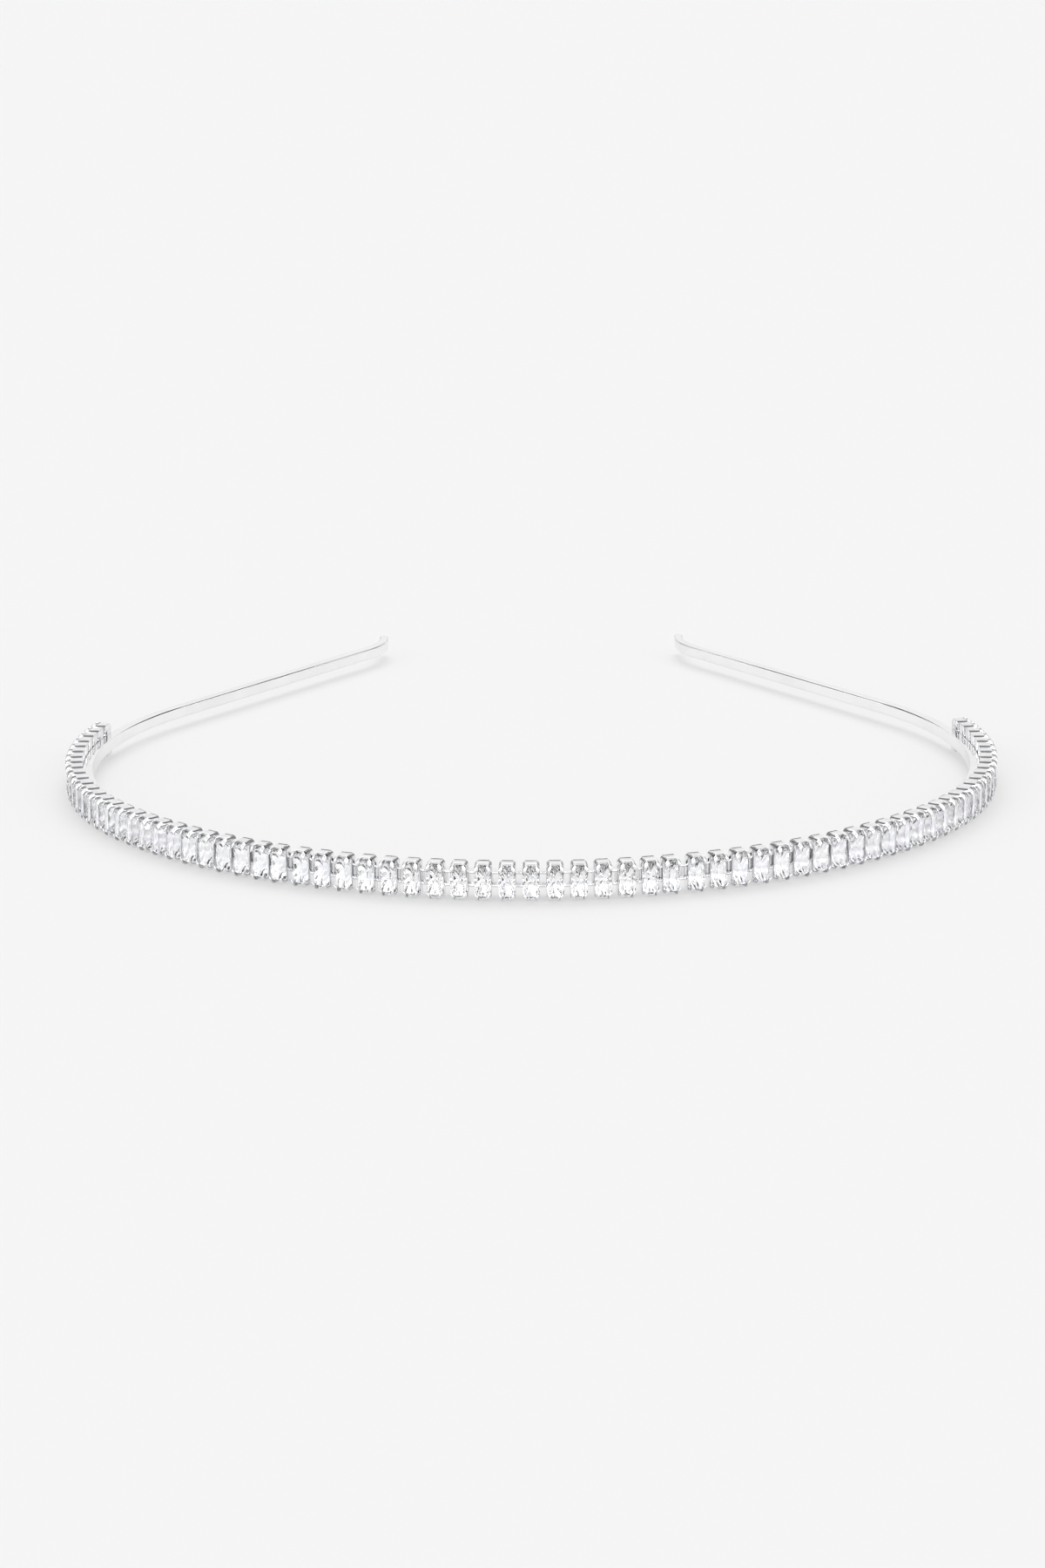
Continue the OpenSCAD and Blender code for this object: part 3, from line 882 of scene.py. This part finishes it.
# %% A black card
black_card, gi, go = group(
    "black_card",
    {"Azimuth": ("NodeSocketFloat", 0.0), "Height": ("NodeSocketFloat", 0.0), "Middle": ("NodeSocketFloat", 0.0),
     "Half width": ("NodeSocketFloat", 10.0), "Foot": ("NodeSocketFloat", 0.0), "Top": ("NodeSocketFloat", 0.5),
     "Edge": ("NodeSocketFloat", 2.0)},
    {"Card": "NodeSocketFloat"},
)
FOOT_SOFT, TOP_SOFT = 0.03, 0.05
away = math(black_card, "ABSOLUTE", math(black_card, "SUBTRACT", gi["Azimuth"], gi["Middle"]))
side_end = math(black_card, "ADD", gi["Half width"], gi["Edge"])
beside = smooth_step(black_card, away, gi["Half width"], side_end, 1, 0)
foot_end = math(black_card, "ADD", gi["Foot"], FOOT_SOFT)
above = smooth_step(black_card, gi["Height"], gi["Foot"], foot_end)
top_end = math(black_card, "ADD", gi["Top"], TOP_SOFT)
below = smooth_step(black_card, gi["Height"], gi["Top"], top_end, 1, 0)
black_card.links.new(math(black_card, "MULTIPLY", beside, math(black_card, "MULTIPLY", above, below)), go["Card"])
print("a card is the group", black_card.name)

# %% The tent and its black cards
CARDS = [
    # direction of the middle, half width (degrees, 0 = towards the camera, + = to the right), foot and top
    (26, 3.5, 0.12, 0.60),
    (-26, 3.5, 0.12, 0.60),
    (64, 4, 0.04, 0.70),
    (-64, 4, 0.04, 0.70),
    (96, 4, 0.02, 0.50),
    (-96, 4, 0.02, 0.50),
    # beside the arms, for the dark line along them
    (124, 17, 0.12, 0.60),
    (-124, 17, 0.12, 0.60),
    # round the whole horizon, behind the camera, and high above it
    (0, 180, -0.02, 0.03),
    (0, 9, 0.10, 0.50),
    (0, 75, 0.62, 0.72),
]
TENT_BACK, TENT_FRONT, TENT_TOP, TENT_APEX = 0.90, 3.4, 1.2, 0.70
FRONT_TO, BACK_FROM, SIDE_SLANT = -0.25, 0.6, 0.08
ROOF_FROM, ROOF_TO, APEX_FROM, APEX_TO = 0.45, 0.85, 0.89, 0.97
CARD_DARK, WORLD_SEEN = 0.98, 0.913

world = bpy.data.worlds.new("tent")
scene.world = world
world.use_nodes = True
tree = world.node_tree
tree.nodes.clear()
way = tree.nodes.new("ShaderNodeTexCoord").outputs["Generated"]
parts = node(tree, "ShaderNodeSeparateXYZ", {0: way}).outputs
azimuth = math(tree, "DEGREES", math(tree, "ARCTAN2", parts["X"], math(tree, "MULTIPLY", parts["Y"], -1.0)))
dark = 0.0
for middle, half_width, foot, top in CARDS:
    card = use(tree, black_card, {"Azimuth": azimuth, "Height": parts["Z"], "Middle": middle,
                                  "Half width": half_width, "Foot": foot, "Top": top})["Card"]
    dark = math(tree, "MAXIMUM", dark, card)
slant = math(tree, "ADD", parts["Y"], math(tree, "MULTIPLY", parts["X"], SIDE_SLANT))
sides = smooth_step(tree, slant, FRONT_TO, BACK_FROM, TENT_FRONT, TENT_BACK)
roof = smooth_step(tree, parts["Z"], APEX_FROM, APEX_TO, TENT_TOP, TENT_APEX)
up = smooth_step(tree, parts["Z"], ROOF_FROM, ROOF_TO)
tent = node(tree, "ShaderNodeMix", {"Factor": up, "A": sides, "B": roof}, data_type="FLOAT").outputs["Result"]
light = math(tree, "MULTIPLY", tent, math(tree, "SUBTRACT", 1.0, math(tree, "MULTIPLY", dark, CARD_DARK)))
glow = node(tree, "ShaderNodeBackground", {"Strength": light})
seen = node(tree, "ShaderNodeBackground", {"Color": linear(1, 1, 1), "Strength": WORLD_SEEN})
glow.inputs["Color"].default_value = linear(1, 1, 1)
ray = tree.nodes.new("ShaderNodeLightPath").outputs["Is Camera Ray"]
mixed = node(tree, "ShaderNodeMixShader", {0: ray, 1: glow.outputs[0], 2: seen.outputs[0]})
out = tree.nodes.new("ShaderNodeOutputWorld")
tree.links.new(mixed.outputs[0], out.inputs["Surface"])
scene.view_settings.view_transform = "Standard"
print("the tent has", len(CARDS), "black cards")

# %% [markdown]
# The tent alone is brightest in front, and would throw the row's shadow backwards, into the open ring. In the
# photograph a soft shadow lies in front of the row instead. A wide lamp behind and above the headband gives it.
# It is kept out of the metal and the crystals, which have the tent to mirror.

# %% Back light
BACK_LIGHT_HEIGHT, BACK_LIGHT_WIDTH, BACK_LIGHT_STRENGTH = 55, 50, 2.75

back_light_data = bpy.data.lights.new("back_light", "SUN")
back_light_data.energy = BACK_LIGHT_STRENGTH
back_light_data.angle = np.radians(BACK_LIGHT_WIDTH)
back_light = bpy.data.objects.new("back_light", back_light_data)
back_light.rotation_euler = (np.radians(BACK_LIGHT_HEIGHT - 90), 0, 0)
back_light.visible_camera = back_light.visible_glossy = back_light.visible_transmission = False
scene.collection.objects.link(back_light)
print("the back light stands", BACK_LIGHT_HEIGHT, "degrees above the table")
